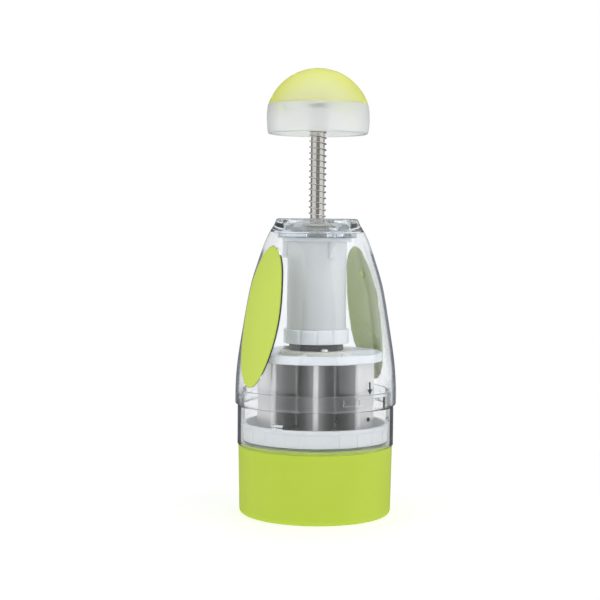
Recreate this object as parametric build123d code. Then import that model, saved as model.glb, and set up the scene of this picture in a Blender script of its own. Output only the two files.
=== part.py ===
from build123d import *
import os
from math import acos, atan2, cos, degrees, pi, radians, sin, sqrt, tan

# Plunger food chopper.  Millimetres, +Z up, origin at the centre of the cup's
# underside, the two oval hand grips on the +X and -X sides.

os.makedirs("parts", exist_ok=True)

# ---------------------------------------------------------------- main sizes
TOTAL_H = 242.45         # cup underside to the top of the knob
STROKE = 38.0            # travel of the plunger
TURN_DEG = 60.0          # turn of the blade over one stroke
TWIST = TURN_DEG / STROKE  # degrees per mm of the spiral drive (right-handed)
BLADE_A0 = -36.5         # angle of the folded blade at rest
RUN = 0.06               # radial clearance of a running fit

# base cup
CUP_H = 37.7
CUP_R_LOW = 41.5
CUP_R_TOP = 42.2
CUP_WALL = 1.8
CUP_FLOOR_Z = 2.8
CUP_RECESS = 0.8
CUP_STEP_R = 40.35       # upstand that the chamber fits over
CUP_STEP_R_IN = 38.9
CUP_STEP_Z = 39.2

# chopping chamber
CH_R = 42.7              # visible wall
CH_R_IN = 40.7
CH_FOOT_Z = 37.85        # lower edge, just over the cup's shoulder
CH_LEDGE_R_IN = 38.4     # ledge that the wiper disc rests on
CH_LEDGE_Z0, CH_LEDGE_Z = 39.35, 40.1
CH_SHOULDER_Z = 59.8
CH_NECK_R = 41.3         # upper neck, inside the housing
CH_NECK_R_IN = 40.0
CH_NECK_Z = 68.2
LUG_R = 42.8
LUG_Z0, LUG_Z1 = 63.5, 66.2
LUG_HALF_DEG = 6.0
LUG_ANGLES = (20.0, 140.0, 260.0)
UNLOCK_DEG = 25.0

# housing
HS_Z0 = 60.1
HS_R0 = 44.0
HS_WALL = 2.2
HS_TOP = 161.0
DISH_R = 19.8
DISH_FLOOR = 152.5
DISH_UNDER = 150.3
SHELL_POINTS = [         # radius, height of the outside of the clear shell
    (44.0, 66.0), (43.45, 78.0), (42.3, 88.0), (40.25, 101.0), (38.05, 114.3),
    (35.4, 127.0), (32.0, 138.0), (27.7, 150.0), (23.75, 157.2),
]

# oval grips
GRIP_Z = 108.6
GRIP_HALF_H = 37.5
GRIP_HALF_W = 15.2
GRIP_PROUD = 0.7
GRIP_SUNK = 1.1
PEG_R = 2.2
PEG_DZ = 22.0

# spiral drive
GUIDE_R_IN, GUIDE_R = 14.0, 16.2
GUIDE_Z0 = 95.3
NUT_R = 13.7
NUT_Z0, NUT_Z1 = 95.45, 105.2
SLEEVE_R = 8.6
RIB_R = 10.8
RIB_W = 3.2
SLEEVE_Z0, SLEEVE_Z1 = 91.5, 145.5
SLEEVE_BORE = 4.3
TEETH = 12
TOOTH_A0 = -31.0         # ratchet teeth to spiral ribs, at the blade's angle
SCREW_PCR = 15.8

# rod, spring and knob
ROD_R = 3.8
ROD_TOP = 221.0
ROD_SHOULDER = 93.0
JOURNAL_R = 3.0
JOURNAL_END = 83.85
SPRING_R = 4.45          # centre of the wire
WIRE = 0.65
SPRING_Z0, SPRING_Z1 = 154.3, 209.4
SPRING_TURNS = 16.65
SPRING_A0 = 93.9         # angle of the spring's lower end
KNOB_SEAM = 223.0
DOME_R0 = 27.1           # dome radius at the seam
SKIRT_BOTTOM = 206.9
PLATE_Z0, PLATE_Z1 = 219.2, 221.4
HOOK_A0 = -1.5

# blade, carrier and wiper
BLADE_T = 0.6
BLADE_Z0, BLADE_Z1 = 41.9, 84.0
BLADE_FOLD_R = 34.8
FOLD_X = (-32.6, -22.0, -11.0, 0.0, 11.0, 22.0, 32.6)
CARRIER_R = 36.2
CARRIER_Z0, CARRIER_Z1 = 84.0, 87.0
WIPER_R = 39.4
WIPER_LIP_R = 39.85
WIPER_R_IN = 37.9
WIPER_Z0, WIPER_Z1 = 40.5, 50.1
WIPER_PLATE = (41.5, 43.3)
WIPER_DIMPLE_R = 4.1     # clears the screw head under the rod
SLOT_CLEAR = 0.4


# ------------------------------------------------------------------ helpers
def outline(points):
    """Closed face in (radius, height) from corners, each with an optional
    corner radius."""
    corners = [(p[0], p[1], p[2] if len(p) > 2 else 0.0) for p in points]
    n = len(corners)
    spans = []
    for i in range(n):
        x, y, rad = corners[i]
        xp, yp, _ = corners[i - 1]
        xn, yn, _ = corners[(i + 1) % n]
        if rad <= 0:
            spans.append(((x, y), None, (x, y)))
            continue
        a = Vector(xp - x, yp - y, 0).normalized()
        b = Vector(xn - x, yn - y, 0).normalized()
        half = acos(max(-1.0, min(1.0, a.dot(b)))) / 2
        reach = rad / tan(half)
        mid = (a + b).normalized()
        far = rad / sin(half)
        spans.append((
            (x + a.X * reach, y + a.Y * reach),
            (x + mid.X * (far - rad), y + mid.Y * (far - rad)),
            (x + b.X * reach, y + b.Y * reach),
        ))
    edges = []
    for i in range(n):
        start, middle, end = spans[i]
        if middle is not None:
            edges.append(ThreePointArc(start, middle, end))
        nxt = spans[(i + 1) % n][0]
        if sqrt((end[0] - nxt[0]) ** 2 + (end[1] - nxt[1]) ** 2) > 1e-6:
            edges.append(Line(end, nxt))
    return make_face(edges)


def turned(points):
    """Solid of revolution about Z from corner points."""
    return revolve(Plane.XZ * outline(points), axis=Axis.Z)


def turned_edges(edges):
    return revolve(Plane.XZ * make_face(edges), axis=Axis.Z)


def tube(r_out, r_in, z0, z1):
    ring = Pos(0, 0, z0) * extrude(Circle(r_out), z1 - z0)
    if r_in > 0:
        ring = ring - Pos(0, 0, z0 - 1) * extrude(Circle(r_in), z1 - z0 + 2)
    return ring


def sector(r_in, r_out, z0, z1, a0, a1):
    """Part of a ring between two angles in degrees."""
    mid = radians((a0 + a1) / 2)
    pts_out = (
        (r_out * cos(radians(a0)), r_out * sin(radians(a0))),
        (r_out * cos(mid), r_out * sin(mid)),
        (r_out * cos(radians(a1)), r_out * sin(radians(a1))),
    )
    pts_in = (
        (r_in * cos(radians(a1)), r_in * sin(radians(a1))),
        (r_in * cos(mid), r_in * sin(mid)),
        (r_in * cos(radians(a0)), r_in * sin(radians(a0))),
    )
    face = make_face([
        ThreePointArc(*pts_out), Line(pts_out[2], pts_in[0]),
        ThreePointArc(*pts_in), Line(pts_in[2], pts_out[0]),
    ])
    return Pos(0, 0, z0) * extrude(face, z1 - z0)


def pan_screw(x, y, seat, head_r, head_h, shank_r, tip):
    """Pan-head screw with its head above the seat, or below it when the tip
    is above."""
    up = 1 if tip < seat else -1
    head = [
        (0, 0), (head_r, 0, 0.2), (head_r, head_h, head_h * 0.45), (0, head_h),
    ]
    head = revolve(Plane.XZ * outline(head), axis=Axis.Z)
    cross = Box(head_r * 1.15, 0.7, 1.0) + Box(0.7, head_r * 1.15, 1.0)
    head = head - Pos(0, 0, head_h - 0.3) * cross
    length = abs(seat - tip)
    shank = revolve(Plane.XZ * outline([
        (0, 0.1), (shank_r, 0.1), (shank_r, -length + 0.8), (shank_r * 0.45, -length),
        (0, -length),
    ]), axis=Axis.Z)
    body = head + shank
    if up < 0:
        body = Rot(180, 0, 0) * body
    return Pos(x, y, seat) * body


def save(node, shape):
    if isinstance(shape, (list, ShapeList)):
        shape = Compound(children=list(shape))
    solids = shape.solids()
    if len(solids) == 1:
        shape = solids[0]
    else:
        shape = Compound(children=list(solids))
    shape.label = node
    export_step(shape, f"parts/{node}.step")
    print(node, len(solids), round(sum(s.volume for s in solids), 1))


# ----------------------------------------------------------------- base cup
base_cup = turned([
    (0, CUP_RECESS), (35.6, CUP_RECESS, 0.4), (36.4, 0, 0.3), (CUP_R_LOW - 0.05, 0, 2.4),
    (CUP_R_TOP, CUP_H, 1.15), (CUP_STEP_R, CUP_H, 0.15),
    (CUP_STEP_R, CUP_STEP_Z, 0.4), (CUP_STEP_R_IN, CUP_STEP_Z, 0.5),
    (CUP_STEP_R_IN, CUP_H - 3.0, 2.0), (CUP_R_TOP - CUP_WALL - 0.25, CUP_H - 6.5, 2.0),
    (CUP_R_LOW - CUP_WALL, CUP_FLOOR_Z, 3.5), (0, CUP_FLOOR_Z),
])
save("base_cup", base_cup)

# --------------------------------------------------------- chopping chamber
chamber = turned([
    (CH_R_IN, CH_FOOT_Z, 0.3), (CH_R, CH_FOOT_Z, 0.5),
    (CH_R, CH_SHOULDER_Z, 0.3), (CH_NECK_R, CH_SHOULDER_Z, 0.2),
    (CH_NECK_R, CH_NECK_Z, 0.4), (CH_NECK_R_IN, CH_NECK_Z, 0.4),
    (CH_NECK_R_IN, 60.4, 0.5), (CH_R_IN, 59.0, 0.5),
    (CH_R_IN, CH_LEDGE_Z, 0.2), (CH_LEDGE_R_IN, CH_LEDGE_Z, 0.2),
    (CH_LEDGE_R_IN, CH_LEDGE_Z0, 0.2), (CH_R_IN, CH_LEDGE_Z0, 0.2),
])
for ang in LUG_ANGLES:
    chamber = chamber + sector(CH_NECK_R - 0.3, LUG_R, LUG_Z0, LUG_Z1,
                               ang - LUG_HALF_DEG, ang + LUG_HALF_DEG)
for ang in (80.0, 200.0, 320.0):
    # small catches that keep the wiper disc down on its ledge
    catch = revolve(Plane.XZ * outline([
        (CH_R_IN + 0.3, 50.5), (CH_R_IN + 0.3, 53.1), (CH_R_IN - 0.1, 52.7),
        (39.3, 51.4, 0.3), (39.3, 50.5, 0.3),
    ]), axis=Axis.Z, revolution_arc=9.0)
    chamber = chamber + Rot(0, 0, ang) * catch
save("chopping_chamber", chamber)

# ------------------------------------------------- folded blade plan outline
fold_points = []
for i, x in enumerate(FOLD_X):
    y = sqrt(BLADE_FOLD_R ** 2 - x * x)
    fold_points.append((x, y if i % 2 == 0 else -y))


def strip_outline(half, extend=0.0, fold_in=1.3, step=24):
    """Closed outline of the zigzag strip, half thick each side, with rounded
    folds; extend lengthens both ends."""
    pts = [Vector(px, py, 0) for px, py in fold_points]
    if extend:
        pts[0] = pts[0] + (pts[0] - pts[1]).normalized() * extend
        pts[-1] = pts[-1] + (pts[-1] - pts[-2]).normalized() * extend

    def side(sign):
        items = []
        for i, p in enumerate(pts):
            if i in (0, len(pts) - 1):
                d = (pts[1] - pts[0]) if i == 0 else (pts[-1] - pts[-2])
                d = d.normalized()
                n = Vector(-d.Y, d.X, 0) * (half * sign)
                items.append((p + n,))
                continue
            a = (pts[i - 1] - p).normalized()
            b = (pts[i + 1] - p).normalized()
            h = acos(a.dot(b)) / 2
            mid = (a + b).normalized()
            centre = p + mid * (fold_in / sin(h))
            da = (p - pts[i - 1]).normalized()
            na = Vector(-da.Y, da.X, 0)
            inner = 1 if na.dot(mid) > 0 else -1
            rad = fold_in - half * sign * inner
            ta = p + a * (fold_in / tan(h))
            tb = p + b * (fold_in / tan(h))
            pa = centre + (ta - centre).normalized() * rad
            pb = centre + (tb - centre).normalized() * rad
            pm = centre - mid * rad
            items.append((pa, pm, pb))
        return items

    left, right = side(1), side(-1)
    edges = []

    def walk(items):
        last = None
        for it in items:
            if last is not None:
                edges.append(Line(last, it[0]))
            if len(it) == 3:
                edges.append(ThreePointArc(*it))
                last = it[2]
            else:
                last = it[0]
        return last

    end_left = walk(left)
    rev = [tuple(reversed(it)) for it in reversed(right)]
    edges.append(Line(end_left, rev[0][0]))
    end_right = walk(rev)
    edges.append(Line(end_right, left[0][0]))
    return make_face(edges)


strip = strip_outline(BLADE_T / 2)
tab_windows = []
for i in range(len(fold_points) - 1):
    (x0, y0), (x1, y1) = fold_points[i], fold_points[i + 1]
    length = sqrt((x1 - x0) ** 2 + (y1 - y0) ** 2)
    ang = degrees(atan2(y1 - y0, x1 - x0))
    for t in ((0.5,) if length < 50 else (0.25, 0.75)):
        tab_windows.append((x0 + (x1 - x0) * t, y0 + (y1 - y0) * t, ang))


def windows(length, width, z0, z1):
    out = None
    for x, y, ang in tab_windows:
        b = Pos(x, y, (z0 + z1) / 2) * Rot(0, 0, ang) * Box(length, width, z1 - z0)
        out = b if out is None else out + b
    return out


turn_rest = Rot(0, 0, BLADE_A0)
EDGE_H = 2.0
blade_body = Pos(0, 0, BLADE_Z0 + EDGE_H) * extrude(strip, BLADE_Z1 - BLADE_Z0 - EDGE_H)
blade_edge = Pos(0, 0, BLADE_Z0 + EDGE_H) * extrude(strip, -EDGE_H, taper=6.2)
blade_tabs = (Pos(0, 0, BLADE_Z1 - 0.5) * extrude(strip, 2.9)) & windows(8.0, 4.0, BLADE_Z1 - 0.4, BLADE_Z1 + 2.4)
zigzag_blade = blade_body + blade_edge + blade_tabs
save("zigzag_blade", turn_rest * zigzag_blade)

# -------------------------------------------------------------- wiper disc
wiper = turned([
    (0, WIPER_PLATE[0]), (WIPER_R_IN, WIPER_PLATE[0]), (WIPER_R_IN, WIPER_Z0, 0.2),
    (WIPER_R, WIPER_Z0, 0.4), (WIPER_R, 47.9), (WIPER_LIP_R, 48.2, 0.2),
    (WIPER_LIP_R, WIPER_Z1, 0.4), (WIPER_R_IN, WIPER_Z1, 0.4),
    (WIPER_R_IN, WIPER_PLATE[1], 0.8), (WIPER_DIMPLE_R, WIPER_PLATE[1], 0.2),
    (WIPER_DIMPLE_R - 0.1, 42.4, 0.3), (0, 42.4),
])
for k in range(24):
    wiper = wiper + Rot(0, 0, 15.0 * k + 4.0) * Pos(WIPER_R + 0.02, 0, 44.4) * Box(0.5, 0.8, 6.8)
slot = strip_outline(BLADE_T / 2 + SLOT_CLEAR, extend=0.5, fold_in=1.3)
wiper = wiper - Pos(0, 0, WIPER_PLATE[0] - 2) * extrude(slot, 6)
save("wiper_disc", turn_rest * wiper)

# ------------------------------------------------------------ blade carrier
carrier = turned([
    (JOURNAL_R + 0.1, CARRIER_Z0), (CARRIER_R, CARRIER_Z0, 0.4), (CARRIER_R, 88.6, 0.4),
    (CARRIER_R - 1.6, 88.6, 0.4), (CARRIER_R - 1.6, CARRIER_Z1, 0.5),
    (JOURNAL_R + 0.1, CARRIER_Z1),
])
for k in range(6):
    rib = Pos(27.5, 0, 87.75) * Box(14.6, 1.6, 1.7)
    carrier = carrier + Rot(0, 0, 60.0 * k + 15.0) * rib
slot_strip = strip_outline(BLADE_T / 2 + 0.1)
carrier = carrier - ((Pos(0, 0, CARRIER_Z0 - 1) * extrude(slot_strip, 7)) & windows(8.3, 5.0, CARRIER_Z0 - 0.5, 89.5))
SLEEVE_SCREW_A = (45.0, 165.0, 285.0)
for ang in SLEEVE_SCREW_A:
    carrier = carrier - Rot(0, 0, ang) * Pos(17.5, 0, CARRIER_Z0 + 0.5) * extrude(Circle(1.25), 4)
save("blade_carrier", turn_rest * carrier)

# ------------------------------------------------------------ spiral sleeve
def spline_face(r_core, r_rib, width):
    face = Circle(r_core)
    for k in range(3):
        face = face + Rot(0, 0, 120.0 * k) * Pos(r_rib / 2, 0) * Rectangle(r_rib, width)
    return face


def spiral(r_core, r_rib, width, z0, z1):
    """Three-ribbed prism, twisted right-handed at the drive's rate, with its
    angle zero at SLEEVE_Z0."""
    start = TWIST * (z0 - SLEEVE_Z0)
    face = Pos(0, 0, z0) * Rot(0, 0, start) * spline_face(r_core, r_rib, width)
    return Solid.extrude_linear_with_rotation(
        face.face(), (0, 0, z0), (0, 0, z1 - z0), TWIST * (z1 - z0))


sleeve = spiral(SLEEVE_R, RIB_R, RIB_W, SLEEVE_Z0, SLEEVE_Z1)
sleeve = sleeve + turned([
    (0, CARRIER_Z1), (20.0, CARRIER_Z1), (20.0, 89.5, 0.5), (9.6, 89.5, 0.6),
    (SLEEVE_R, 91.6), (0, 91.6),
])
sleeve = sleeve - (Pos(0, 0, 92.0) * extrude(Circle(SLEEVE_BORE), 60))
sleeve = sleeve - (Pos(0, 0, CARRIER_Z1 - 1) * extrude(Circle(JOURNAL_R + RUN), 10))
for ang in SLEEVE_SCREW_A:
    sleeve = sleeve - Rot(0, 0, ang) * Pos(17.5, 0, 86.0) * extrude(Circle(1.4), 5)
save("spiral_sleeve", turn_rest * sleeve)

sleeve_screws = [
    turn_rest * Rot(0, 0, ang) * pan_screw(17.5, 0, 89.5, 2.0, 1.5, 1.2, 84.9)
    for ang in SLEEVE_SCREW_A
]
save("sleeve_screws", sleeve_screws)

stop_buffer = turned([
    (11.4, 89.5, 0.3), (14.8, 89.5, 0.3), (14.8, 92.8, 0.9), (11.4, 92.8, 0.9),
])
save("stop_buffer", stop_buffer)

# ------------------------------------------------------- housing, clear shell
shell_spline = Spline(SHELL_POINTS, tangents=[(-0.02, 1), (-0.55, 0.83)])


def offset_points(distance, z_low, z_high, count=26):
    """Points of the shell's outside curve moved along its normal, outward
    when distance is positive."""
    pts = []
    for i in range(count):
        t = i / (count - 1)
        p = shell_spline @ t
        d = (shell_spline % t).normalized()
        q = (p.X + d.Y * distance, p.Y - d.X * distance)
        if z_low <= q[1] <= z_high:
            pts.append(q)
    return pts


def skin_solid(distance):
    """Full body of revolution out to the shell's outside plus distance,
    between z = 64 and z = 154."""
    pts = offset_points(distance, 66.5, 153.0)
    low = (HS_R0 + distance, 64.0)
    top = pts[-1]
    curve = Spline([low] + pts)
    return turned_edges([
        curve, Line(top, (0, top[1])), Line((0, top[1]), (0, 64.0)), Line((0, 64.0), low),
    ])


inner = offset_points(-HS_WALL, 66.0, 155.0)
inner = [p for p in inner if p[0] > DISH_R + 2.7]
inner_curve = Spline([(HS_R0 - HS_WALL, 66.0)] + inner[1:] if abs(inner[0][1] - 66.0) < 1.0 else [(HS_R0 - HS_WALL, 66.0)] + inner)
apex = inner_curve @ 1
rim_start = shell_spline @ 1
shell_edges = [
    ThreePointArc((HS_R0 - 0.7, HS_Z0), (HS_R0 - 0.205, HS_Z0 + 0.205), (HS_R0, HS_Z0 + 0.7)),
    Line((HS_R0, HS_Z0 + 0.7), (HS_R0, 66.0)),
    shell_spline,
    Spline([(rim_start.X, rim_start.Y), (22.75, 159.35), (21.2, HS_TOP)],
           tangents=[(-0.55, 0.83), (-1, 0.05)]),
    Line((21.2, HS_TOP), (DISH_R + 0.9, HS_TOP)),
    ThreePointArc((DISH_R + 0.9, HS_TOP), (DISH_R + 0.264, HS_TOP - 0.264), (DISH_R, HS_TOP - 0.9)),
    Line((DISH_R, HS_TOP - 0.9), (DISH_R, DISH_FLOOR + 1.0)),
    ThreePointArc((DISH_R, DISH_FLOOR + 1.0), (DISH_R - 0.293, DISH_FLOOR + 0.293), (DISH_R - 1.0, DISH_FLOOR)),
    Line((DISH_R - 1.0, DISH_FLOOR), (5.65, DISH_FLOOR)),
    Line((5.65, DISH_FLOOR), (5.65, DISH_UNDER)),
    Line((5.65, DISH_UNDER), (DISH_R + 1.0, DISH_UNDER)),
    ThreePointArc((DISH_R + 1.0, DISH_UNDER), (DISH_R + 1.707, DISH_UNDER + 0.293), (DISH_R + 2.0, DISH_UNDER + 1.0)),
    Line((DISH_R + 2.0, DISH_UNDER + 1.0), (DISH_R + 2.0, apex.Y)),
    Line((DISH_R + 2.0, apex.Y), (apex.X, apex.Y)),
    inner_curve,
    Line((HS_R0 - HS_WALL, 66.0), (HS_R0 - HS_WALL, HS_Z0 + 0.5)),
    Line((HS_R0 - HS_WALL, HS_Z0 + 0.5), (HS_R0 - HS_WALL + 0.4, HS_Z0)),
    Line((HS_R0 - HS_WALL + 0.4, HS_Z0), (HS_R0 - 0.7, HS_Z0)),
]
housing = turned_edges(shell_edges)

# bayonet tracks inside the lower edge
for ang in LUG_ANGLES:
    housing = housing - sector(41.0, 43.1, 63.1, 66.6, ang - LUG_HALF_DEG - 0.7,
                               ang + UNLOCK_DEG + LUG_HALF_DEG + 0.7)
    housing = housing - sector(41.0, 43.1, HS_Z0 - 0.6, 66.6,
                               ang + UNLOCK_DEG - LUG_HALF_DEG - 0.7,
                               ang + UNLOCK_DEG + LUG_HALF_DEG + 0.7)

# oval recesses for the grips, with peg holes
skin_proud = skin_solid(GRIP_PROUD)
skin_floor = skin_solid(-GRIP_SUNK)
skin_gap = skin_solid(-GRIP_SUNK - 0.03)


def oval_prism(grow, x0=15.0, x1=60.0):
    face = Ellipse(GRIP_HALF_H + grow, GRIP_HALF_W + grow)
    # ellipse with its long axis up, extruded along +X
    return Plane((x0, 0, GRIP_Z), x_dir=(0, 0, 1), z_dir=(1, 0, 0)) * extrude(face, x1 - x0)


GUIDE_SCREW_A = (24.5, 144.5, 264.5)
grips = {}
for name, spin in (("grip_right", 0.0), ("grip_left", 180.0)):
    recess = oval_prism(0.15) - skin_gap
    housing = housing - Rot(0, 0, spin) * recess
    pad = (skin_proud - skin_floor) & oval_prism(0.0)
    pad = pad.solids().sort_by(SortBy.VOLUME)[-1]
    outer_edges = []
    for e in pad.edges():
        c = e.center()
        r_here = sqrt(c.X ** 2 + c.Y ** 2)
        outer_edges.append((e, r_here, e.length))
    for dz in (-PEG_DZ, PEG_DZ):
        # peg from the pad through the clear wall
        zc = GRIP_Z + dz
        r_here = None
        for i in range(200):
            p = shell_spline @ (i / 199)
            if r_here is None or abs(p.Y - zc) < abs(best - zc):
                r_here, best = p.X, p.Y
        hole = Plane((20, 0, zc), x_dir=(0, 1, 0), z_dir=(1, 0, 0)) * extrude(Circle(PEG_R + 0.08), 25)
        housing = housing - Rot(0, 0, spin) * hole
        peg = Plane((r_here - 3.0, 0, zc), x_dir=(0, 1, 0), z_dir=(1, 0, 0)) * extrude(Circle(PEG_R), 2.4)
        pad = pad + peg
    grips[name] = Rot(0, 0, spin) * pad

for ang in GUIDE_SCREW_A:
    housing = housing - Rot(0, 0, ang) * Pos(SCREW_PCR, 0, DISH_UNDER - 1) * extrude(Circle(1.45), 4)
save("housing_shell", housing)
save("grip_right", grips["grip_right"])
save("grip_left", grips["grip_left"])

# --------------------------------------------------------------- guide tube
guide = turned([
    (GUIDE_R_IN, GUIDE_Z0, 0.3), (GUIDE_R, GUIDE_Z0, 0.5), (GUIDE_R, 148.3, 0.5),
    (18.9, 148.3, 0.3), (18.9, DISH_UNDER, 0.3), (GUIDE_R_IN, DISH_UNDER),
])
for ang in GUIDE_SCREW_A:
    guide = guide + Rot(0, 0, ang) * Pos(SCREW_PCR, 0, 139.5) * extrude(Circle(2.9), DISH_UNDER - 139.5)
guide = guide - Pos(0, 0, GUIDE_Z0 - 1) * extrude(Circle(GUIDE_R_IN), 60)
guide = guide + tube(GUIDE_R_IN + 0.2, 11.4, 105.7, 107.2)
for ang in GUIDE_SCREW_A:
    guide = guide - Rot(0, 0, ang) * Pos(SCREW_PCR, 0, 141.0) * extrude(Circle(1.22), 12)
save("guide_tube", guide)

guide_screws = [
    Rot(0, 0, ang) * pan_screw(SCREW_PCR, 0, DISH_FLOOR, 2.5, 1.7, 1.2, 142.0)
    for ang in GUIDE_SCREW_A
]
save("guide_screws", guide_screws)


# ------------------------------------------------- ratchet nut and retainer
def ratchet_teeth(grow, lift):
    """Ring of saw teeth; upright faces towards -angle, slopes falling
    towards +angle."""
    wide = 6.0
    out = None
    for k in range(TEETH):
        face = make_face(Polyline(
            (-wide / 2 - grow, -0.6 - grow), (wide / 2 + grow, -0.6 - grow),
            (wide / 2 + grow, 0.0 + lift), (-wide / 2 - grow, 1.1 + lift), close=True))
        # profile in the tangent/height plane, extruded along the radius
        tooth = Plane((11.6 - grow * 3, 0, 95.2), x_dir=(0, 1, 0), z_dir=(1, 0, 0)) * extrude(face, 1.9 + grow * 6)
        tooth = Rot(0, 0, 360.0 / TEETH * k) * tooth
        out = tooth if out is None else out + tooth
    return out


retainer = turned([
    (11.4, 93.2, 0.3), (17.9, 93.2, 0.5), (17.9, 101.0, 0.4), (GUIDE_R + 0.15, 101.0),
    (GUIDE_R + 0.15, 95.2), (11.4, 95.2),
]) + (ratchet_teeth(0.0, 0.0) & tube(13.5, 11.6, 93.8, 97.0))
for k in range(12):
    # finger flutes on the outside of the screw-on ring
    retainer = retainer - Rot(0, 0, 30.0 * k) * Pos(18.35, 0, 92) * extrude(Circle(1.0), 10)
turn_teeth = Rot(0, 0, BLADE_A0 - TOOTH_A0)
save("nut_retainer", turn_teeth * retainer)

nut = tube(NUT_R, 0, NUT_Z0, NUT_Z1)
nut = nut - spiral(SLEEVE_R + 0.35, RIB_R + 0.35, RIB_W + 0.7, NUT_Z0 - 0.6, NUT_Z1 + 0.6).moved(Location((0, 0, 0), (0, 0, TOOTH_A0)))
nut = nut - ratchet_teeth(0.15, 0.2)
nut_solids = nut.solids().sort_by(SortBy.VOLUME)
save("drive_nut", turn_teeth * nut_solids[-1])

# ------------------------------------------------------ bush, washer, spring
top_bush = turned([
    (ROD_R + RUN, 146.4, 0.2), (5.6, 146.4, 0.4), (5.6, DISH_FLOOR), (8.4, DISH_FLOOR, 0.2),
    (8.4, 153.7, 0.5), (ROD_R + RUN, 153.7),
])
save("top_bush", top_bush)
save("spring_washer", turned([(ROD_R + 0.4, 153.7), (6.4, 153.7, 0.15), (6.4, 154.3, 0.15), (ROD_R + 0.4, 154.3)]))

spring_path = Helix(
    pitch=(SPRING_Z1 - SPRING_Z0 - WIRE) / SPRING_TURNS,
    height=SPRING_Z1 - SPRING_Z0 - WIRE, radius=SPRING_R,
    center=(0, 0, SPRING_Z0 + WIRE / 2), lefthand=True)
spring_path = Rot(0, 0, SPRING_A0) * spring_path
start = spring_path @ 0
wire_face = Plane(start, z_dir=spring_path % 0) * Circle(WIRE / 2)
return_spring = sweep(wire_face, path=spring_path)
save("return_spring", return_spring)

# --------------------------------------------------------------- plunger rod
rod = turned([
    (0, JOURNAL_END), (JOURNAL_R, JOURNAL_END, 0.2), (JOURNAL_R, ROD_SHOULDER),
    (ROD_R, ROD_SHOULDER, 0.2), (ROD_R, ROD_TOP, 0.4), (0, ROD_TOP),
])
rod = rod - Pos(0, 0, 204.0) * extrude(Circle(1.95), 20)
rod = rod - Pos(0, 0, JOURNAL_END - 1) * extrude(Circle(1.25), 9)
save("plunger_rod", rod)
save("thrust_washer", tube(3.95, JOURNAL_R + 0.05, 92.15, ROD_SHOULDER))
save("end_washer", turned([(1.35, 82.85), (4.7, 82.85, 0.15), (4.7, JOURNAL_END, 0.15), (1.35, JOURNAL_END)]))
save("end_screw", pan_screw(0, 0, 82.85, 3.3, 1.8, 1.2, 90.4))

# ---------------------------------------------------------------------- knob
dome_h = TOTAL_H - KNOB_SEAM
dome_big = (dome_h ** 2 + DOME_R0 ** 2) / (2 * dome_h)
dome_cz = TOTAL_H - dome_big
DOME_T = 2.1


def arc_at(radius, z):
    return sqrt(max(0.0, radius ** 2 - (z - dome_cz) ** 2))


in_big = dome_big - DOME_T
lip_out, lip_in = 24.8, 22.9
z_in = dome_cz + sqrt(in_big ** 2 - lip_in ** 2)
cap_edges = [
    ThreePointArc((0, TOTAL_H), (arc_at(dome_big, 236.0), 236.0), (arc_at(dome_big, 223.6), 223.6)),
    ThreePointArc((arc_at(dome_big, 223.6), 223.6), (DOME_R0 - 0.1, 223.2), (DOME_R0 - 0.5, KNOB_SEAM + 0.05)),
    Line((DOME_R0 - 0.5, KNOB_SEAM + 0.05), (lip_out, KNOB_SEAM + 0.05)),
    Line((lip_out, KNOB_SEAM + 0.05), (lip_out, PLATE_Z1 + 0.1)),
    Line((lip_out, PLATE_Z1 + 0.1), (lip_in, PLATE_Z1 + 0.1)),
    Line((lip_in, PLATE_Z1 + 0.1), (lip_in, z_in)),
    ThreePointArc((lip_in, z_in), (sqrt(in_big ** 2 - (234.0 - dome_cz) ** 2), 234.0), (0, dome_cz + in_big)),
    Line((0, dome_cz + in_big), (0, TOTAL_H)),
]
cap = turned_edges(cap_edges)
hook_profile = outline([
    (23.2, PLATE_Z1 + 0.5), (24.5, PLATE_Z1 + 0.5), (24.5, 217.0, 0.5),
    (22.3, 217.0, 0.3), (21.4, 218.6, 0.2), (21.4, 219.0), (23.2, 219.0),
])
HOOK_DEG = 19.0
window_profile = outline([(21.9, PLATE_Z0 - 1), (24.75, PLATE_Z0 - 1), (24.75, PLATE_Z1 + 1), (21.9, PLATE_Z1 + 1)])
for k in range(4):
    hook = revolve(Plane.XZ * hook_profile, axis=Axis.Z, revolution_arc=HOOK_DEG)
    cap = cap + Rot(0, 0, HOOK_A0 + 90.0 * k - HOOK_DEG / 2) * hook
save("knob_cap", cap)

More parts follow.
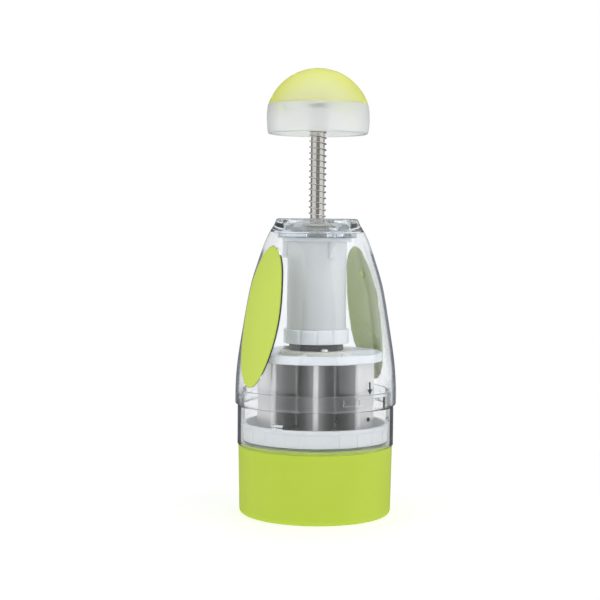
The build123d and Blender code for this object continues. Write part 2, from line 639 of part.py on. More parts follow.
skirt_edges = [
    ThreePointArc((27.3, KNOB_SEAM - 0.5), (27.95, 215.0), (27.35, SKIRT_BOTTOM + 1.1)),
    ThreePointArc((27.35, SKIRT_BOTTOM + 1.1), (27.0, SKIRT_BOTTOM + 0.3), (26.2, SKIRT_BOTTOM)),
    Line((26.2, SKIRT_BOTTOM), (25.6, SKIRT_BOTTOM)),
    Line((25.6, SKIRT_BOTTOM), (25.2, SKIRT_BOTTOM + 0.6)),
    Line((25.2, SKIRT_BOTTOM + 0.6), (25.0, PLATE_Z0 - 1.0)),
    ThreePointArc((25.0, PLATE_Z0 - 1.0), (24.707, PLATE_Z0 - 0.293), (24.0, PLATE_Z0)),
    Line((24.0, PLATE_Z0), (6.1, PLATE_Z0)),
    ThreePointArc((6.1, PLATE_Z0), (5.393, PLATE_Z0 - 0.293), (5.1, PLATE_Z0 - 1.0)),
    Line((5.1, PLATE_Z0 - 1.0), (5.0, SPRING_Z1)),
    Line((5.0, SPRING_Z1), (ROD_R, SPRING_Z1)),
    Line((ROD_R, SPRING_Z1), (ROD_R, ROD_TOP + 0.1)),
    Line((ROD_R, ROD_TOP + 0.1), (2.0, ROD_TOP + 0.1)),
    Line((2.0, ROD_TOP + 0.1), (2.0, PLATE_Z1)),
    Line((2.0, PLATE_Z1), (25.0, PLATE_Z1)),
    Line((25.0, PLATE_Z1), (25.0, KNOB_SEAM - 0.3)),
    Line((25.0, KNOB_SEAM - 0.3), (25.3, KNOB_SEAM)),
    Line((25.3, KNOB_SEAM), (26.8, KNOB_SEAM)),
    ThreePointArc((26.8, KNOB_SEAM), (27.15, KNOB_SEAM - 0.15), (27.3, KNOB_SEAM - 0.5)),
]
skirt = turned_edges(skirt_edges)
for k in range(4):
    hole = revolve(Plane.XZ * window_profile, axis=Axis.Z, revolution_arc=HOOK_DEG + 1.2)
    skirt = skirt - Rot(0, 0, HOOK_A0 + 90.0 * k - HOOK_DEG / 2 - 0.6) * hole
save("knob_skirt", skirt)

save("knob_washer", turned([(2.05, PLATE_Z1), (5.0, PLATE_Z1, 0.2), (5.0, 222.3, 0.2), (2.05, 222.3)]))
save("knob_screw", pan_screw(0, 0, 222.3, 4.0, 2.6, 1.9, 206.0))
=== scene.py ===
import bpy
import math
import numpy as np
from mathutils import Vector, Matrix


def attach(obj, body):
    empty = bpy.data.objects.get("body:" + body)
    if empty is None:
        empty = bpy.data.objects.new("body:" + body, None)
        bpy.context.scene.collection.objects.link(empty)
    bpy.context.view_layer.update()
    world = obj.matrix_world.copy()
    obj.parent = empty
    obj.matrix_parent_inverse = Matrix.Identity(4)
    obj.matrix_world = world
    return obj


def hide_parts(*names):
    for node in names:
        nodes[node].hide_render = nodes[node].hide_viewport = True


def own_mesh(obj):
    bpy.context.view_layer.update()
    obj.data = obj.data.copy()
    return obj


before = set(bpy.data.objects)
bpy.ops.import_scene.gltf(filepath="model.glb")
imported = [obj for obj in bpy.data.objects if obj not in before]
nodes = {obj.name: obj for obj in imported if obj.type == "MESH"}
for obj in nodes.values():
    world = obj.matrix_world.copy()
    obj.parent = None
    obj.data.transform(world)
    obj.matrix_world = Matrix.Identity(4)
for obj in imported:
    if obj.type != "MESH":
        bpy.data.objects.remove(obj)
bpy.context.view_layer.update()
scene = bpy.context.scene
MM = 0.001

# --------------------------------------------------------------- dimensions
SHELL_POINTS = [(44.0, 66.0), (43.45, 78.0), (42.3, 88.0), (40.25, 101.0), (38.05, 114.3),
                (35.4, 127.0), (32.0, 138.0), (27.7, 150.0), (23.75, 157.2)]
GRIP_Z, GRIP_A, GRIP_B = 108.6, 37.5, 15.2
GRIP_PROUD, GRIP_SUNK = 0.7, 1.1
SPRING_Z0, SPRING_Z1, SPRING_R, WIRE = 154.3, 209.4, 4.45, 0.65
SPRING_PITCH, SPRING_A0 = 3.2703, 93.9


# ---------------------------------------------------------------- materials
def srgb(r, g, b):
    def f(v):
        v = v / 255.0
        return v / 12.92 if v <= 0.04045 else ((v + 0.055) / 1.055) ** 2.4
    return (f(r), f(g), f(b), 1.0)


class Mat:
    """A node material with a Principled shader and small helpers."""

    def __init__(self, name):
        self.m = bpy.data.materials.new(name)
        self.m.use_nodes = True
        self.nt = self.m.node_tree
        self.n = self.nt.nodes
        self.l = self.nt.links
        self.p = self.n["Principled BSDF"]
        self.out = self.n["Material Output"]
        self._coord = None

    def set(self, **kw):
        for k, v in kw.items():
            self.p.inputs[k.replace("_", " ")].default_value = v
        return self

    def coord(self):
        if self._coord is None:
            self._coord = self.n.new("ShaderNodeTexCoord")
        return self._coord.outputs["Object"]

    def mapped(self, scale):
        m = self.n.new("ShaderNodeMapping")
        m.inputs["Scale"].default_value = scale
        self.l.new(self.coord(), m.inputs["Vector"])
        return m.outputs["Vector"]

    def noise(self, scale, detail=3.0, rough=0.55, vec=None, distort=0.0):
        t = self.n.new("ShaderNodeTexNoise")
        t.inputs["Scale"].default_value = scale
        t.inputs["Detail"].default_value = detail
        t.inputs["Roughness"].default_value = rough
        t.inputs["Distortion"].default_value = distort
        self.l.new(vec if vec is not None else self.coord(), t.inputs["Vector"])
        return t.outputs["Fac"]

    def ramp(self, fac, stops):
        r = self.n.new("ShaderNodeValToRGB")
        els = r.color_ramp.elements
        while len(els) < len(stops):
            els.new(0.5)
        for e, (pos, col) in zip(els, stops):
            e.position = pos
            e.color = col if len(col) == 4 else (*col, 1.0)
        self.l.new(fac, r.inputs["Fac"])
        return r.outputs["Color"]

    def remap(self, fac, a, b, lo=0.0, hi=1.0):
        r = self.n.new("ShaderNodeMapRange")
        r.inputs["From Min"].default_value = lo
        r.inputs["From Max"].default_value = hi
        r.inputs["To Min"].default_value = a
        r.inputs["To Max"].default_value = b
        self.l.new(fac, r.inputs["Value"])
        return r.outputs["Result"]

    def smooth(self, fac, lo, hi):
        r = self.n.new("ShaderNodeMapRange")
        r.interpolation_type = "SMOOTHSTEP"
        if lo < hi:
            ends, goes = (lo, hi), (0.0, 1.0)
        else:
            ends, goes = (hi, lo), (1.0, 0.0)
        r.inputs["From Min"].default_value, r.inputs["From Max"].default_value = ends
        r.inputs["To Min"].default_value, r.inputs["To Max"].default_value = goes
        self.l.new(fac, r.inputs["Value"])
        return r.outputs["Result"]

    def math(self, op, a, b=None):
        t = self.n.new("ShaderNodeMath")
        t.operation = op
        for i, v in enumerate((a, b)):
            if v is None:
                continue
            if isinstance(v, (int, float)):
                t.inputs[i].default_value = v
            else:
                self.l.new(v, t.inputs[i])
        return t.outputs[0]

    def mix(self, fac, a, b):
        t = self.n.new("ShaderNodeMix")
        t.data_type = "RGBA"
        for sock, v in ((t.inputs["Factor"], fac), (t.inputs[6], a), (t.inputs[7], b)):
            if isinstance(v, (int, float)):
                sock.default_value = v
            elif isinstance(v, tuple):
                sock.default_value = v
            else:
                self.l.new(v, sock)
        return t.outputs[2]

    def bump(self, height, strength=0.2, dist=0.0002, normal=None):
        b = self.n.new("ShaderNodeBump")
        b.inputs["Strength"].default_value = strength
        b.inputs["Distance"].default_value = dist
        self.l.new(height, b.inputs["Height"])
        if normal is not None:
            self.l.new(normal, b.inputs["Normal"])
        return b.outputs["Normal"]

    def absorb(self, colour, density):
        v = self.n.new("ShaderNodeVolumeAbsorption")
        v.inputs["Color"].default_value = colour
        v.inputs["Density"].default_value = density
        self.l.new(v.outputs[0], self.out.inputs["Volume"])

    def let_lamps_through(self, tint=(1, 1, 1, 1), share=1.0):
        """Shadow rays pass the surface, tinted, so that lamps light what is inside."""
        lp = self.n.new("ShaderNodeLightPath")
        tr = self.n.new("ShaderNodeBsdfTransparent")
        tr.inputs["Color"].default_value = tint
        mx = self.n.new("ShaderNodeMixShader")
        fac = lp.outputs["Is Shadow Ray"]
        if share < 1.0:
            fac = self.math("MULTIPLY", fac, share)
        self.l.new(fac, mx.inputs[0])
        self.l.new(self.p.outputs[0], mx.inputs[1])
        self.l.new(tr.outputs[0], mx.inputs[2])
        self.l.new(mx.outputs[0], self.out.inputs["Surface"])


def clear_plastic(name, edge, edge_from, edge_to, below, gloss=0.5, inner=0.15, tint=(0.962, 0.97, 0.978, 1.0)):
    """Clear moulded plastic. Upright walls seen edge on, below a given height, are darkened by a painted shade in the
    base colour and specular tint.
    """
    m = Mat(name)
    m.set(IOR=1.49, Transmission_Weight=1.0, Specular_IOR_Level=gloss)
    facing = m.n.new("ShaderNodeLayerWeight")
    facing.inputs["Blend"].default_value = 0.5
    edge_on = m.smooth(facing.outputs["Facing"], edge_from, edge_to)
    split = m.n.new("ShaderNodeSeparateXYZ")
    m.coord()
    m.l.new(m._coord.outputs["Normal"], split.inputs[0])
    upright = m.smooth(m.math("ABSOLUTE", split.outputs["Z"]), 0.75, 0.45)
    place = m.n.new("ShaderNodeSeparateXYZ")
    m.l.new(m.coord(), place.inputs[0])
    low = m.smooth(place.outputs["Z"], below + 0.003, below - 0.003)
    sideways = m.n.new("ShaderNodeVectorMath")
    sideways.operation = "MULTIPLY"
    sideways.inputs[1].default_value = (1.0, 1.0, 0.0)
    m.l.new(m.coord(), sideways.inputs[0])
    out_dot = m.n.new("ShaderNodeVectorMath")
    out_dot.operation = "DOT_PRODUCT"
    m.l.new(m._coord.outputs["Normal"], out_dot.inputs[0])
    m.l.new(sideways.outputs["Vector"], out_dot.inputs[1])
    outside = m.remap(m.smooth(out_dot.outputs["Value"], -0.004, 0.004), inner, 1.0)
    # painted shade: mask of upright walls seen edge on below the given height, weaker on inner faces; it darkens base
    # colour and specular tint
    painted_shade_mask = m.math("MULTIPLY", m.math("MULTIPLY", m.math("MULTIPLY", edge_on, upright), low), outside)
    m.l.new(m.mix(painted_shade_mask, tint, edge), m.p.inputs["Base Color"])
    m.l.new(m.mix(painted_shade_mask, (1.0, 1.0, 1.0, 1.0), (0.5, 0.52, 0.55, 1.0)), m.p.inputs["Specular Tint"])
    wear = m.noise(160.0, 4.0, 0.6)
    fine = m.noise(2600.0, 2.0, 0.5)
    m.l.new(m.remap(wear, 0.012, 0.05, 0.35, 0.7), m.p.inputs["Roughness"])
    h = m.math("ADD", m.noise(90.0, 1.0, 0.4), m.math("MULTIPLY", fine, 0.02))
    m.l.new(m.bump(h, 0.10, 0.0003), m.p.inputs["Normal"])
    m.absorb((0.45, 0.575, 0.70, 1.0), 16.0)
    m.let_lamps_through((0.90, 0.92, 0.935, 1.0))
    return m.m


def frosted_plastic(name="frosted_plastic", white=0.33, rough=0.29, grain_bump=0.015):
    m = Mat(name)
    m.set(IOR=1.46, Transmission_Weight=1.0 - white, Base_Color=(0.93, 0.945, 0.945, 1.0))
    grain = m.noise(1400.0, 3.0, 0.6)
    flow = m.noise(38.0, 3.0, 0.55, vec=m.mapped((1, 1, 3.2)))
    m.l.new(m.mix(m.remap(flow, 0, 1, 0.35, 0.65), (0.96, 0.97, 0.985, 1), (0.98, 0.985, 0.99, 1)), m.p.inputs["Base Color"])
    m.l.new(m.remap(grain, rough, rough + 0.04), m.p.inputs["Roughness"])
    m.l.new(m.bump(grain, grain_bump, 0.00002), m.p.inputs["Normal"])
    m.let_lamps_through((0.75, 0.79, 0.8, 1.0), 0.8)
    return m.m


def green_plastic(name, low, high, rough, gloss=0.3, grain_scale=1500.0, grain=0.1, sss=0.15):
    m = Mat(name)
    flow = m.noise(24.0, 3.0, 0.5, vec=m.mapped((1, 1, 0.45)), distort=0.3)
    m.l.new(m.mix(m.remap(flow, 0.3, 0.7, 0.35, 0.65), low, high), m.p.inputs["Base Color"])
    fine = m.noise(grain_scale, 3.0, 0.6)
    rub = m.noise(70.0, 4.0, 0.6)
    m.l.new(m.math("ADD", m.remap(rub, rough - 0.05, rough + 0.06, 0.35, 0.65), m.remap(fine, -0.03, 0.03)), m.p.inputs["Roughness"])
    m.l.new(m.bump(fine, grain, 0.00006), m.p.inputs["Normal"])
    m.set(IOR=1.5, Specular_IOR_Level=gloss, Subsurface_Weight=sss, Subsurface_Scale=0.004)
    m.p.inputs["Subsurface Radius"].default_value = (0.9, 1.0, 0.25)
    return m.m


def dome_plastic():
    m = Mat("dome_green")
    m.set(IOR=1.46, Transmission_Weight=0.58, Subsurface_Weight=0.5, Subsurface_Scale=0.006)
    m.p.inputs["Subsurface Radius"].default_value = (0.9, 1.0, 0.3)
    flow = m.noise(30.0, 3.0, 0.5)
    facing = m.n.new("ShaderNodeLayerWeight")
    facing.inputs["Blend"].default_value = 0.5
    # partly painted highlight: the base colour is pale where the dome faces the view, and saturated where seen edge on,
    # standing for the longer path through the plastic
    pale_painted_highlight = m.mix(m.remap(flow, 0.35, 0.65), (0.99, 0.99, 0.74, 1), (0.98, 0.985, 0.68, 1))
    m.l.new(m.mix(m.smooth(facing.outputs["Facing"], 0.15, 0.70), pale_painted_highlight, (0.985, 0.995, 0.27, 1)), m.p.inputs["Base Color"])
    grain = m.noise(1500.0, 3.0, 0.6)
    m.l.new(m.remap(grain, 0.40, 0.52), m.p.inputs["Roughness"])
    m.l.new(m.bump(grain, 0.1, 0.00005), m.p.inputs["Normal"])
    m.absorb((0.95, 0.98, 0.25, 1.0), 90.0)
    m.let_lamps_through((0.88, 0.93, 0.55, 1.0), 0.8)
    return m.m


def steel(name, colour, rough, brush=(1, 1, 1), brush_scale=900.0, metal=1.0, amount=0.08):
    m = Mat(name)
    streak = m.noise(brush_scale, 3.0, 0.6, vec=m.mapped(brush))
    blot = m.noise(60.0, 3.0, 0.55)
    c2 = tuple(min(1.0, c * 0.86) for c in colour[:3]) + (1.0,)
    m.l.new(m.mix(m.remap(blot, 0.25, 0.75), colour, c2), m.p.inputs["Base Color"])
    m.l.new(m.math("ADD", m.remap(streak, rough - amount, rough + amount), m.remap(blot, -0.02, 0.03)), m.p.inputs["Roughness"])
    m.l.new(m.bump(streak, 0.12, 0.00003), m.p.inputs["Normal"])
    m.set(Metallic=metal)
    return m.m


def solid_plastic(name, colour, rough=0.4, sss=0.05, depth=0.003, lamps=0.0):
    m = Mat(name)
    flow = m.noise(35.0, 3.0, 0.5)
    dark = tuple(c * 0.93 for c in colour[:3]) + (1.0,)
    m.l.new(m.mix(m.remap(flow, 0.3, 0.7), colour, dark), m.p.inputs["Base Color"])
    fine = m.noise(1300.0, 3.0, 0.6)
    m.l.new(m.remap(fine, rough - 0.06, rough + 0.06), m.p.inputs["Roughness"])
    m.l.new(m.bump(fine, 0.08, 0.00006), m.p.inputs["Normal"])
    m.set(Subsurface_Weight=sss, Subsurface_Scale=depth)
    m.p.inputs["Subsurface Radius"].default_value = (1.0, 0.98, 0.95)
    if lamps:
        m.let_lamps_through((0.95, 0.96, 0.97, 1.0), lamps)
    return m.m


CUP = green_plastic("cup_green", srgb(188, 210, 68), srgb(194, 215, 77), 0.44, sss=0.5)
GRIP = green_plastic("grip_green", srgb(199, 219, 87), srgb(205, 224, 97), 0.5, grain_scale=1100.0, grain=0.18, sss=0.1)
DOME = dome_plastic()
# the first colour of each clear plastic is its painted dark shade for walls seen edge on
CLEAR = clear_plastic("clear_plastic", (0.045, 0.058, 0.078, 1.0), 0.63, 0.755, 0.144)
CLEAR_LOW = clear_plastic("clear_plastic_chamber", (0.003, 0.004, 0.007, 1.0), 0.663, 0.725, 0.2, gloss=0.28, inner=0.84, tint=(0.985, 0.988, 0.99, 1.0))
FROST = frosted_plastic()
GUIDE = frosted_plastic("guide_frosted", 0.5, 0.34, 0.012)
WHITE = solid_plastic("white_plastic", srgb(243, 246, 249), 0.34, 0.7, 0.006, lamps=0.75)
NATURAL = solid_plastic("natural_plastic", srgb(226, 224, 214), 0.42)
ROD = steel("rod_steel", (0.535, 0.52, 0.49, 1), 0.185, (1, 1, 0.04), 1200.0)
SPRING = steel("spring_steel", (0.80, 0.77, 0.72, 1), 0.2, (1, 1, 1), 2500.0)
BLADE = steel("blade_steel", (0.84, 0.825, 0.81, 1), 0.42, (1, 1, 0.03), 1500.0, metal=0.5)
ZINC = steel("zinc", (0.76, 0.77, 0.79, 1), 0.34, (1, 1, 1), 1800.0, metal=0.75)
RUBBER = solid_plastic("buffer_rubber", (0.035, 0.035, 0.038, 1), 0.7, 0.0)

by_node = {
    "base_cup": CUP, "chopping_chamber": CLEAR_LOW, "wiper_disc": WHITE, "housing_shell": CLEAR,
    "grip_left": GRIP, "grip_right": GRIP, "guide_tube": GUIDE, "drive_nut": NATURAL,
    "nut_retainer": WHITE, "guide_screws": ZINC, "top_bush": NATURAL, "spring_washer": ZINC,
    "return_spring": SPRING, "knob_cap": DOME, "knob_skirt": FROST, "knob_screw": ZINC,
    "knob_washer": ZINC, "plunger_rod": ROD, "thrust_washer": ZINC, "end_washer": ZINC,
    "end_screw": ZINC, "spiral_sleeve": NATURAL, "blade_carrier": WHITE, "zigzag_blade": BLADE,
    "sleeve_screws": ZINC, "stop_buffer": RUBBER,
}
for name, mat in by_node.items():
    o = nodes[name]
    o.data.materials.clear()
    o.data.materials.append(mat)

# ------------------------------------------------------------- mesh helpers
def piece(name, verts, faces, mat, body, stands_for=(), sharp_deg=None):
    """A closed mesh in millimetres, riding on a body."""
    me = bpy.data.meshes.new(name)
    me.from_pydata([(x * MM, y * MM, z * MM) for x, y, z in verts], [], faces)
    me.validate()
    me.polygons.foreach_set("use_smooth", [True] * len(me.polygons))
    if sharp_deg is not None:
        me.set_sharp_from_angle(angle=math.radians(sharp_deg))
    me.materials.append(mat)
    me.update()
    o = bpy.data.objects.new(name, me)
    scene.collection.objects.link(o)
    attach(o, body)
    if stands_for:
        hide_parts(*stands_for)
    return o


def rings_to_mesh(rings, start=True, end=True, offset=0):
    """Skins a list of closed rings of equal length, outward when they run counter-clockwise seen from the end."""
    n = len(rings[0])
    verts = [p for r in rings for p in r]
    faces = []
    for i in range(len(rings) - 1):
        for k in range(n):
            a, b = i * n + k, i * n + (k + 1) % n
            faces.append((a, b, b + n, a + n))
    for flag, idx, flip in ((start, 0, True), (end, len(rings) - 1, False)):
        if not flag:
            continue
        ring = rings[idx]
        centre = tuple(sum(c[j] for c in ring) / n for j in range(3))
        ci = len(verts)
        verts.append(centre)
        for k in range(n):
            a, b = idx * n + k, idx * n + (k + 1) % n
            faces.append((b, a, ci) if flip else (a, b, ci))
    return verts, [tuple(v + offset for v in f) for f in faces]


def merged(parts):
    verts, faces = [], []
    for v, f in parts:
        k = len(verts)
        verts += v
        faces += [tuple(i + k for i in q) for q in f]
    return verts, faces


# --------------------------------------------------- outside curve of the bell
def clamped_spline(pts, t0, t1):
    """Cubic spline through points with unit end tangents, parametrised by chord length."""
    pts = np.array(pts, float)
    h = np.linalg.norm(np.diff(pts, axis=0), axis=1)
    n = len(pts)
    m = np.zeros((n, n))
    rhs = np.zeros((n, 2))
    m[0, 0] = m[-1, -1] = 1.0
    rhs[0], rhs[-1] = np.array(t0) / np.linalg.norm(t0), np.array(t1) / np.linalg.norm(t1)
    for i in range(1, n - 1):
        m[i, i - 1], m[i, i], m[i, i + 1] = h[i], 2 * (h[i - 1] + h[i]), h[i - 1]
        rhs[i] = 3 * (h[i] * (pts[i] - pts[i - 1]) / h[i - 1] + h[i - 1] * (pts[i + 1] - pts[i]) / h[i])
    d = np.linalg.solve(m, rhs)
    out, tan = [], []
    for i in range(n - 1):
        for u in np.linspace(0, 1, 40, endpoint=(i == n - 2)):
            p0, p1, d0, d1 = pts[i], pts[i + 1], d[i] * h[i], d[i + 1] * h[i]
            out.append((2 * u**3 - 3 * u**2 + 1) * p0 + (u**3 - 2 * u**2 + u) * d0 + (3 * u**2 - 2 * u**3) * p1 + (u**3 - u**2) * d1)
            tan.append((6 * u**2 - 6 * u) * p0 + (3 * u**2 - 4 * u + 1) * d0 + (6 * u - 6 * u**2) * p1 + (3 * u**2 - 2 * u) * d1)
    tan = np.array(tan)
    return np.array(out), tan / np.linalg.norm(tan, axis=1)[:, None]


shell_rz, shell_tan = clamped_spline(SHELL_POINTS, (-0.02, 1), (-0.55, 0.83))
shell_normal = np.stack([shell_tan[:, 1], -shell_tan[:, 0]], 1)


def shell_radius(z, lift=0.0):
    """Radius of the bell's outside at a height, moved out along its normal by lift."""
    moved = shell_rz + shell_normal * lift
    return float(np.interp(z, moved[:, 1], moved[:, 0]))


# -------------------------------------------------------------------- grips
def grip_mesh(side):
    n = 168
    th = np.linspace(0, 2 * math.pi, n, endpoint=False)

    def ring(inset, lift, shrink=1.0):
        pts = []
        for t in th:
            ny, nz = math.cos(t) / GRIP_B, math.sin(t) / GRIP_A
            length = math.hypot(ny, nz)
            y = (GRIP_B * math.cos(t) - ny / length * inset) * shrink
            z = (GRIP_A * math.sin(t) - nz / length * inset) * shrink + GRIP_Z
            r = shell_radius(z, lift)
            x = math.sqrt(max(r * r - y * y, 0.0))
            pts.append((side * x, side * y, z))
        return pts

    rings = []
    for k in (0.02, 0.12, 0.24, 0.36, 0.48, 0.60, 0.72, 0.84, 0.93):
        rings.append(ring(1.3, -1.07, k))
    rings.append(ring(1.3, -1.07))
    rings.append(ring(0.25, -1.07))
    rings.append(ring(0.06, -0.95))
    for lift in (-0.6, -0.3, 0.0):
        rings.append(ring(0.02, lift))
    round_in, round_up = 1.0, 0.78
    for k in range(0, 10):
        a = math.pi / 2 * k / 9
        rings.append(ring(0.02 + round_in * (1 - math.cos(a)), GRIP_PROUD - 0.04 - round_up + round_up * math.sin(a)))
    for inset, lift in ((1.6, GRIP_PROUD - 0.015), (2.6, GRIP_PROUD - 0.005)):
        rings.append(ring(inset, lift))
    for k in (0.93, 0.84, 0.72, 0.60, 0.48, 0.36, 0.24, 0.12, 0.02):
        rings.append(ring(2.6, GRIP_PROUD, k))
    # seen from outside +X the rings run counter-clockwise, from the back face to the front
    parts = [rings_to_mesh(rings)]
    for dz in (-22.0, 22.0):
        zc = GRIP_Z + dz
        r0 = shell_radius(zc)
        peg = []
        for x, r in ((r0 - 3.0, 1.5), (r0 - 2.95, 1.85), (r0 - 2.7, 2.15), (r0 - 2.0, 2.2), (r0 - 0.75, 2.2)):
            peg.append([(side * x, side * r * math.cos(t), zc + r * math.sin(t)) for t in np.linspace(0, 2 * math.pi, 40, endpoint=False)])
        parts.append(rings_to_mesh(peg))
    return merged(parts)


for side, name in ((1, "grip_right"), (-1, "grip_left")):
    v, f = grip_mesh(side)
    piece(name + "_pad", v, f, GRIP, "housing", (name,), sharp_deg=50)


# ------------------------------------------------------------- return spring
def spring_mesh():
    per_turn, around = 56, 18
    wire = WIRE / 2
    z, dz = [SPRING_Z0 + wire], 0.0
    step = 1.0 / per_turn
    closed = WIRE + 0.03

    def pitch_at(zz):
        gone = min(zz - SPRING_Z0 - wire, SPRING_Z1 - wire - zz)
        k = min(1.0, max(0.0, (gone - closed * 0.85) / 1.5))
        k = k * k * (3 - 2 * k)
        return closed + (SPRING_PITCH - closed) * k

    while z[-1] < SPRING_Z1 - wire:
        z.append(z[-1] + pitch_at(z[-1]) * step)
    z[-1] = SPRING_Z1 - wire
    z = np.array(z)
    turn = np.arange(len(z)) * step
    mid_z = 182.0
    turn_mid = np.interp(mid_z, z, turn)
    want = SPRING_A0 - 360.0 * (mid_z - SPRING_Z0 - wire) / SPRING_PITCH
    ang = np.radians(want - 360.0 * (turn - turn_mid))
    centre = np.stack([SPRING_R * np.cos(ang), SPRING_R * np.sin(ang), z], 1)
    rings = []
    for i in range(len(centre)):
        a, b = centre[max(i - 1, 0)], centre[min(i + 1, len(centre) - 1)]
        t = (b - a) / np.linalg.norm(b - a)
        out = np.array([math.cos(ang[i]), math.sin(ang[i]), 0.0])
        out -= t * (out @ t)
        out /= np.linalg.norm(out)
        up = np.cross(t, out)
        rings.append([tuple(centre[i] + wire * (out * math.cos(w) + up * math.sin(w))) for w in np.linspace(0, 2 * math.pi, around, endpoint=False)])
    # the wire's cut ends are slightly rounded
    first, last = rings[0], rings[-1]

    def shrunk(ring, towards, amount, k):
        c = np.mean(np.array(ring), 0)
        return [tuple(c + (np.array(p) - c) * k + towards * amount) for p in ring]

    t0 = (centre[0] - centre[1]) / np.linalg.norm(centre[0] - centre[1])
    t1 = (centre[-1] - centre[-2]) / np.linalg.norm(centre[-1] - centre[-2])
    t0[2] = t1[2] = 0
    rings = [shrunk(first, t0, 0.1, 0.8)] + rings + [shrunk(last, t1, 0.1, 0.8)]
    return rings_to_mesh(rings)


v, f = spring_mesh()
spring = piece("return_spring_coil", v, f, SPRING, "housing", ("return_spring",), sharp_deg=60)
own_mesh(spring)


# ---------------------------------------------------- marks of the bayonet
def patch(radius, azimuth_deg, grid, cols, rows, lift=0.05, sunk=0.06, wrap=False):
    """A thin raised shape on a turned surface. grid(s, t) gives its (along, height) in mm; wrap joins t = 1 to t = 0."""
    def at(s, t, d):
        u, z = grid(s, t)
        r = radius(z)
        a = math.radians(azimuth_deg) + u / r
        return ((r + d) * math.sin(a), -(r + d) * math.cos(a), z)

    def layer(d):
        return [[at(i / rows, j / cols, d) for j in range(cols if wrap else cols + 1)] for i in range(rows + 1)]

    top, low = layer(lift), layer(-sunk)
    n = len(top[0])
    verts = [p for r in top for p in r] + [p for r in low for p in r]
    half = n * (rows + 1)
    faces = []
    span = n if wrap else n - 1
    for i in range(rows):
        for j in range(span):
            a, b = i * n + j, i * n + (j + 1) % n
            faces.append((a, b, b + n, a + n))
            faces.append((half + a, half + a + n, half + b + n, half + b))
    edge = []
    if wrap:
        for i in (0, rows):
            edge.append([i * n + j for j in range(n)] + [i * n])
    else:
        edge.append([j for j in range(n)] + [i * n + n - 1 for i in range(1, rows + 1)] + [rows * n + j for j in range(n - 2, -1, -1)] + [i * n for i in range(rows - 1, -1, -1)])
    for loop in edge:
        for a, b in zip(loop, loop[1:]):
            faces.append((a, half + a, half + b, b))
    return verts, faces


def fixed_normals(o):
    import bmesh
    bm = bmesh.new()
    bm.from_mesh(o.data)
    bmesh.ops.remove_doubles(bm, verts=bm.verts, dist=1e-7)
    bmesh.ops.recalc_face_normals(bm, faces=bm.faces)
    bm.to_mesh(o.data)
    bm.free()
    return o


def ink(name):
    m = Mat(name)
    blot = m.noise(700.0, 3.0, 0.6)
    m.l.new(m.mix(m.remap(blot, 0.3, 0.7), (0.030, 0.032, 0.036, 1), (0.055, 0.057, 0.062, 1)), m.p.inputs["Base Color"])
    m.l.new(m.remap(blot, 0.42, 0.58), m.p.inputs["Roughness"])
    m.l.new(m.bump(m.noise(2600.0, 2.0, 0.5), 0.15, 0.00002), m.p.inputs["Normal"])
    return m.m


INK = ink("mark_ink")


def bar(u0, u1, z0, z1):
    return lambda s, t: (u0 + (u1 - u0) * t, z0 + (z1 - z0) * s)


def wedge(uc, half, z0, z1):
    return lambda s, t: (uc + (2 * t - 1) * half * s, z0 + (z1 - z0) * s)


def ring_shape(uc, zc, r0, r1):
    return lambda s, t: (uc + (r0 + (r1 - r0) * s) * math.cos(2 * math.pi * t), zc + (r0 + (r1 - r0) * s) * math.sin(2 * math.pi * t))


MARK_AZ = 4.0
bell = lambda z: shell_radius(z)
chamber_r = lambda z: 42.7
for name, rad, az, grid, cols, rows, wrap, body in (
    ("mark_pointer", bell, MARK_AZ, wedge(0.0, 1.7, 68.6, 71.6), 8, 6, False, "housing"),
    ("mark_pointer_stem", bell, MARK_AZ, bar(-0.55, 0.55, 71.58, 75.4), 4, 8, False, "housing"),
    ("mark_locked", chamber_r, MARK_AZ, ring_shape(0.0, 55.6, 0.0, 1.15), 40, 4, True, "chamber"),
    ("mark_open", chamber_r, MARK_AZ - 25.0, ring_shape(0.0, 55.6, 0.75, 1.2), 40, 2, True, "chamber"),
):
    v, f = patch(rad, az, grid, cols, rows, lift=0.045, wrap=wrap)
    fixed_normals(piece(name, v, f, INK, body, sharp_deg=40))


# -------------------------------------------------------------------- stage
bpy.ops.mesh.primitive_plane_add(size=8.0, location=(0, 0, 0))
floor = bpy.context.object
floor.name = "floor"
fm = Mat("floor_white")
fm.set(Base_Color=(0.52, 0.52, 0.523, 1.0), Roughness=0.6)
fm.l.new(fm.bump(fm.noise(300.0, 3.0), 0.02, 0.0002), fm.p.inputs["Normal"])
fm.p.inputs["Emission Color"].default_value = (1, 1, 1, 1)
fm.p.inputs["Emission Strength"].default_value = 0.62
glow = fm.n.new("ShaderNodeEmission")
glow.inputs["Strength"].default_value = 1.0
reach = fm.n.new("ShaderNodeVectorMath")
reach.operation = "LENGTH"
fm.l.new(fm.coord(), reach.inputs[0])
far = fm.n.new("ShaderNodeMapRange")
far.interpolation_type = "SMOOTHSTEP"
far.inputs["From Min"].default_value = 0.06
far.inputs["From Max"].default_value = 0.30
fm.l.new(reach.outputs["Value"], far.inputs["Value"])
fade = fm.n.new("ShaderNodeMixShader")
fm.l.new(far.outputs["Result"], fade.inputs[0])
fm.l.new(fm.p.outputs[0], fade.inputs[1])
fm.l.new(glow.outputs[0], fade.inputs[2])
# polished surfaces mirror a dimmer floor, as they do a dimmer room
mirrored = fm.n.new("ShaderNodeEmission")
mirrored.inputs["Color"].default_value = (0.98, 0.99, 1.0, 1)
mirrored.inputs["Strength"].default_value = 0.20
kind = fm.n.new("ShaderNodeLightPath")
by_ray = fm.n.new("ShaderNodeMixShader")
straight = fm.math("SUBTRACT", 1.0, kind.outputs["Is Transmission Ray"])
fm.l.new(fm.math("MULTIPLY", kind.outputs["Is Glossy Ray"], straight), by_ray.inputs[0])
fm.l.new(fade.outputs[0], by_ray.inputs[1])
fm.l.new(mirrored.outputs[0], by_ray.inputs[2])
fm.l.new(by_ray.outputs[0], fm.out.inputs["Surface"])
floor.data.materials.append(fm.m)

